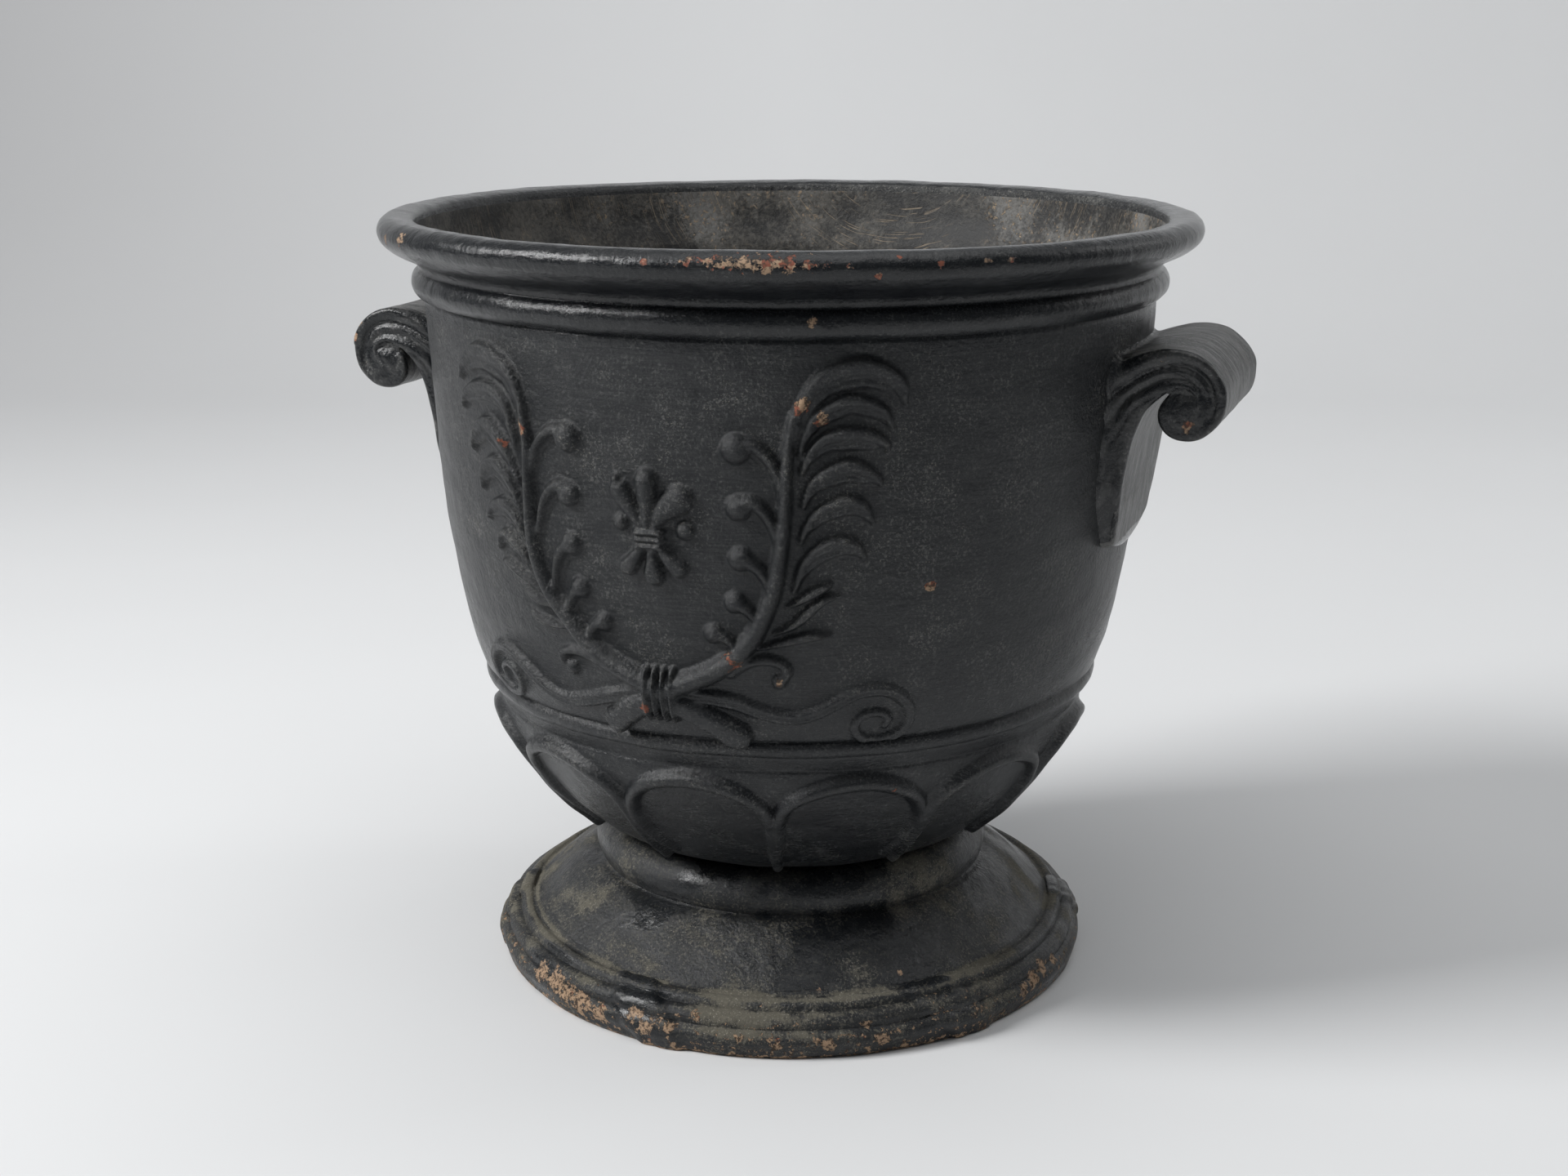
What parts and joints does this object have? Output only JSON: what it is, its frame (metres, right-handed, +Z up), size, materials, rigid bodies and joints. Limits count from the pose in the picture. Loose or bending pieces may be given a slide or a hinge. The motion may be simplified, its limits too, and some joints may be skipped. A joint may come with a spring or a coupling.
{
  "type": "urn planter",
  "caption": "Footed cast garden urn planter with a rolled rim, relief wreath, lobed cup and scroll handles, open at the top for soil.",
  "frame": {"origin": "centre of the foot's flat underside, on the floor", "axes": "+Z up to the rim, handles along X, wreath on the front (-Y) and the back (+Y)"},
  "size_m": [0.536, 0.48, 0.457],
  "materials": {
    "black_paint": "satin black paint over red lead primer on cast iron, chipped and dusty",
    "old_steel": "dull, rust-stained steel"
  },
  "bodies": {
    "root": {"bowl": "black_paint", "foot": "black_paint", "handle_right": "black_paint", "handle_left": "black_paint", "right_front_stud": "old_steel", "right_front_washer": "old_steel", "right_front_nut": "old_steel", "right_back_stud": "old_steel", "right_back_washer": "old_steel", "right_back_nut": "old_steel", "left_front_stud": "old_steel", "left_front_washer": "old_steel", "left_front_nut": "old_steel", "left_back_stud": "old_steel", "left_back_washer": "old_steel", "left_back_nut": "old_steel", "foot_bolt": "old_steel", "foot_bolt_washer": "old_steel", "foot_plate_washer": "old_steel", "foot_nut": "old_steel"}
  },
  "joints": []
}
